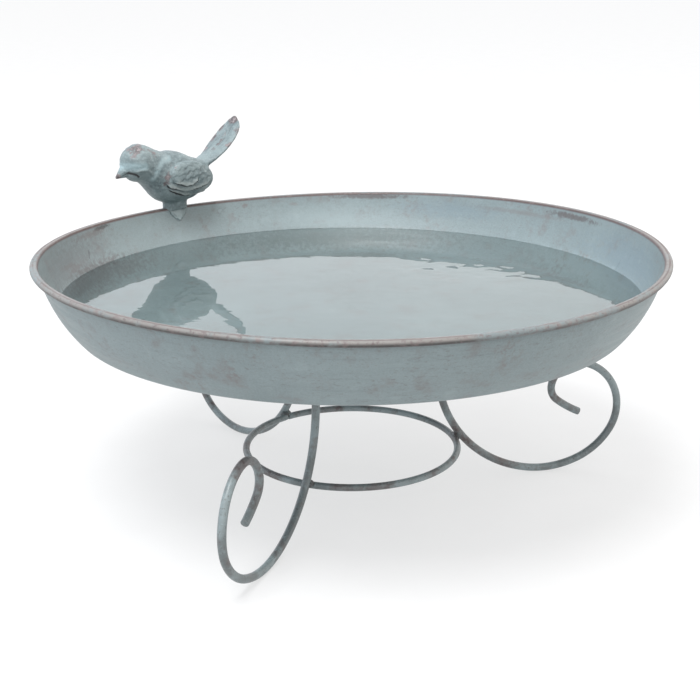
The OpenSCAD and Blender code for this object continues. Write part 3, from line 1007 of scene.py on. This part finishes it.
# Where the casting's paint is rubbed through: place, reach in mm and share.
RUBBED = (
    ((27, 4, 35), 8, 0.55), ((22, -3, 36), 8, 0.5), ((18, 6, 31), 6, 0.45),
    ((38.4, 0, 19.5), 3, 0.9), ((12, 12, 19), 4.5, 0.5), ((12.5, 11, 15), 4, 0.55),
    ((12, -12, 19), 4.5, 0.5), ((12.5, -11, 15), 4, 0.55), ((9, 13, 24), 4.5, 0.4),
    ((9, -13, 24), 4.5, 0.4), ((-44.8, 0, 45.5), 5, 1.0), ((-40, -7, 40), 5, 0.6),
    ((-35, -9, 34), 6, 0.6), ((-28, -8, 28), 6, 0.5), ((-40, 8, 39), 4, 0.5),
    ((-33, 9.5, 31.5), 4, 0.5), ((-26, 8, 25), 4, 0.4), ((-17, 0, 21), 4, 0.4),
    ((-20, 6, 12), 5, 0.35), ((8, 13.5, 12), 4, 0.4), ((8, -13.5, 12), 4, 0.4),
)


def bird_rub(points):
    rub = np.zeros(len(points))
    for centre, reach, share in RUBBED:
        away = np.linalg.norm(points - np.array(centre), axis=1)
        rub = np.maximum(rub, share * np.exp(-((away / reach) ** 2)))
    flat = points[:, [0, 2]] + 0.8 * np.column_stack([noise_at(points, 4, 16)] * 2)
    on_top = np.exp(-((points[:, 1] - 1.5) / 2.2) ** 2)
    return np.maximum(rub, 0.5 * near(flat, TAIL_BLOTCHES, 1.6) * on_top)


def bird_tint_and_highlight(points):
    """Where the casting is paler: a teal band along the face, and a painted highlight along the
    front of the shoulder.
    """
    flat = points[:, [0, 2]]
    return np.maximum(near(flat, FACE_BAND, 2.4), 0.8 * near(flat, SHOULDER, 1.8))


def perched(points):
    """Bird points in the model's frame."""
    place = np.array([RIM_R * ring_cos(BIRD_AT), RIM_R * ring_sin(BIRD_AT), RIM_Z + BEAD_R])
    return turned(points, BIRD_AT + 90) + place


def build_bird(material):
    points, normals, faces = one_skin(*bird_rough(), VOXEL, 6)
    relief = bird_relief(points, normals)
    points = points + normals * relief[:, None]
    return make_piece(
        "bird_casting", perched(points), faces, material, ["bird"],
        {"relief": relief, "rub": bird_rub(points), "pale": bird_tint_and_highlight(points)},
    )


def on_wall(points):
    """Points (across, down the wall, out of it) under the bird, in the model's frame."""
    lean = 93 - WALL_END
    across, down, out = np.array(points, float).T
    return perched(np.column_stack([
        across,
        RIM_FLAT + BEAD_R + TONGUE_GAP + down * ring_sin(lean) + out * ring_cos(lean),
        -BEAD_R - 0.9 * PERCH_DROP - down * ring_cos(lean) + out * ring_sin(lean),
    ]))


def tongue_half_width(down):
    return np.interp(down, (TONGUE_SIDE[1], TONGUE_END[1]), (TONGUE_SIDE[0], TONGUE_END[0]))


def build_tongue(material):
    """The tongue's V below the rim, with rounded edges; its back is sunk to the wall."""
    edge, front, back = 0.7, 22, 8
    rings = []
    for down in np.concatenate([
        np.linspace(-TONGUE_RISE, 0.4, 8), np.linspace(0.5, TONGUE_END[1], 14),
        TONGUE_END[1] + 0.9 * np.sin(np.linspace(0.2, 1.5, 5)),
    ]):
        past_end = max(0.0, down - TONGUE_END[1])
        half = tongue_half_width(down) * math.sqrt(max(0.02, 1 - (past_end / 0.93) ** 2))
        thick = TONGUE_T * math.sqrt(max(0.05, 1 - (past_end / 0.95) ** 2))
        rounded = min(edge, half)
        ring = []
        for k in range(front + 1):
            u = -half * math.cos(math.pi * k / front)
            lost = max(0.0, (abs(u) - (half - rounded)) / rounded)
            ring.append((u, down, thick * math.sqrt(max(0.0, 1 - lost**2))))
        ring += [(half * (1 - 2 * k / back), down, -0.5) for k in range(back + 1)]
        rings.append(ring)
    points, faces = skin(rings)
    return make_piece(
        "bird_tongue_plate", on_wall(points), faces, material, ["bird_tongue"]
    )


def build_bird_weld(material):
    """Small uneven fillets along both edges of the tongue's point."""
    points, faces = [], []
    for side in (-1, 1):
        down = np.linspace(TONGUE_SIDE[1] + 0.7, TONGUE_END[1] - 0.4, 26)
        path = np.column_stack([side * tongue_half_width(down), down, np.full(26, 0.1)])
        radii = 0.62 * (1 + 0.14 * noise_at(path, 1.3, 30 + side))
        radii[[0, -1]] *= 0.5
        more, rest = sweep(path, radii, 12)
        faces += [tuple(len(points) + i for i in f) for f in rest]
        points += [tuple(p) for p in more]
    return make_piece(
        "bird_weld_filler", on_wall(points), faces, material, ["bird_weld"]
    )


# ---- water ----

WATER_SEGMENTS = 288


MENISCUS = 0.25
# Ripples: their height, how far y is squeezed, and where the water is stirred most, in mm.
RIPPLE_HEIGHT, RIPPLE_SQUEEZE = 0.16, 1.7
STIR_PLACE, STIR_REACH, STIR_REST = (66, 50), (40, 26), 0.08


def build_water(material):
    """Still water. Its sides and bottom lie inside the sheet, so only its top shows."""
    def wall_radius(height, reach):
        return WALL_MID[0] + math.sqrt(reach**2 - (height - WALL_MID[1]) ** 2)

    edge = wall_radius(WATER_Z, WALL_R - SHEET_T / 2)
    section = []
    for k in range(96):
        radius = edge * k / 95
        section.append((radius, WATER_Z + MENISCUS * math.exp((radius - edge) / 1.1)))
    section.append((wall_radius(WATER_Z + MENISCUS, WALL_R), WATER_Z + MENISCUS))
    for k in range(1, 9):
        a = math.degrees(math.asin((WATER_Z + MENISCUS - WALL_MID[1]) / WALL_R))
        a += (CORNER_TURN - 90 - a) * k / 8
        section.append((WALL_MID[0] + WALL_R * ring_cos(a), WALL_MID[1] + WALL_R * ring_sin(a)))
    section += [s[:2] for s in reversed(arc(CORNER_MID, CORNER_R, -90, CORNER_TURN, 5)[:-1])]
    section.append((0.0, FLOOR_Z))
    points, faces, _ = lathe(section, WATER_SEGMENTS)
    top = points[:, 2] > WATER_Z - 0.01
    radius = np.hypot(points[:, 0], points[:, 1])
    calm = smooth_step(edge, edge - 9, radius) * top
    # ripples, strongest on the side away from the bird
    away = (points[:, :2] - STIR_PLACE) / STIR_REACH
    stir = STIR_REST + np.exp(-(away[:, 0] ** 2 + away[:, 1] ** 2))
    stretched = points * np.array([1, RIPPLE_SQUEEZE, 1])
    wave = noise_at(stretched, 9, 4) + 0.4 * noise_at(stretched, 5, 6)
    points[:, 2] += RIPPLE_HEIGHT * calm * stir * wave
    return make_piece("water", points, faces, material)


# ---- make everything ----

FLOOR_GLOW = 0.62
paint, wires, welds = brushed_paint(), wire_paint(), weld_paint()
build_dish(paint)
build_rim_wire(bare_steel())
for index, (node, at) in enumerate(LEGS.items()):
    end = node.removeprefix("leg_")
    build_leg(node, at, index + 1.0, wires)
    build_ring_weld("ring_weld_" + end, at, index + 11.0, welds)
    build_dish_weld("dish_weld_" + end, at, index + 21.0, welds)
build_ring(wires)
cast = cast_paint()
build_bird(cast)
tongue_paint = plain_paint()
build_tongue(tongue_paint)
build_bird_weld(tongue_paint)
build_water(water_look())

# ---- floor, light and camera ----


def build_floor():
    work = bmesh.new()
    bmesh.ops.create_grid(work, x_segments=8, y_segments=8, size=12)
    mesh = bpy.data.meshes.new("floor")
    work.to_mesh(mesh)
    work.free()
    floor = bpy.data.objects.new("floor", mesh)
    bpy.context.scene.collection.objects.link(floor)
    mesh.materials.append(floor_look())


def area_light(name, place, target, size, power, tint=(1, 1, 1)):
    data = bpy.data.lights.new(name, "AREA")
    data.shape, data.size, data.energy, data.color = "DISK", size, power, tint
    light = bpy.data.objects.new(name, data)
    bpy.context.scene.collection.objects.link(light)
    light.location = place
    light.rotation_euler = (Vector(target) - Vector(place)).to_track_quat("-Z", "Y").to_euler()


SKY_POWER = 1.45
SKY_LEFT, SKY_RIGHT = (0.93, 0.995, 1.075, 1), (1.05, 1.0, 0.96, 1)
SKY_REACH = 0.8
KEY_PLACE, KEY_SIZE, KEY_POWER = (-0.40, -0.95, 2.18), 1.0, 56
KEY_TINT = (0.99, 0.995, 1.0)
# The camera, in metres and degrees; its turn is about the model's own axis.
CAMERA_TURN, CAMERA_AIM, CAMERA_TILT, CAMERA_ROLL = 4.27, 0.071, 90 - 17.738, -0.223
CAMERA_PLACE = Vector((0, -0.61730, 0.27214))
CAMERA_LENS, CAMERA_SENSOR = 65.70, 36


def build_sky():
    """A soft studio all round, a little cooler on the left."""
    world = bpy.data.worlds.new("studio")
    bpy.context.scene.world = world
    world.use_nodes = True
    sky = world.node_tree.nodes["Background"]
    sky.inputs["Strength"].default_value = SKY_POWER
    make, join = world.node_tree.nodes.new, world.node_tree.links.new
    facing = make("ShaderNodeTexCoord")
    parts = make("ShaderNodeSeparateXYZ")
    across = make("ShaderNodeMapRange")
    across.inputs["From Min"].default_value = -SKY_REACH
    across.inputs["From Max"].default_value = SKY_REACH
    tint = make("ShaderNodeMix")
    tint.data_type = "RGBA"
    tint.inputs["A"].default_value = SKY_LEFT
    tint.inputs["B"].default_value = SKY_RIGHT
    join(facing.outputs["Generated"], parts.inputs[0])
    join(parts.outputs["X"], across.inputs["Value"])
    join(across.outputs["Result"], tint.inputs["Factor"])
    join(tint.outputs["Result"], sky.inputs["Color"])


def turned(degrees, axis):
    return Matrix.Rotation(math.radians(degrees), 3, axis)


build_floor()
build_sky()
area_light("key", KEY_PLACE, (0, 0, 0.1), KEY_SIZE, KEY_POWER, KEY_TINT)

camera_data = bpy.data.cameras.new("camera")
camera_data.sensor_width = CAMERA_SENSOR
camera_data.lens = CAMERA_LENS
camera = bpy.data.objects.new("camera", camera_data)
bpy.context.scene.collection.objects.link(camera)
camera.location = turned(CAMERA_TURN, "Z") @ CAMERA_PLACE
camera.rotation_euler = (
    turned(CAMERA_TURN + CAMERA_AIM, "Z") @ turned(CAMERA_TILT, "X") @ turned(CAMERA_ROLL, "Z")
).to_euler()
bpy.context.scene.camera = camera
bpy.context.scene.view_settings.view_transform = "Standard"
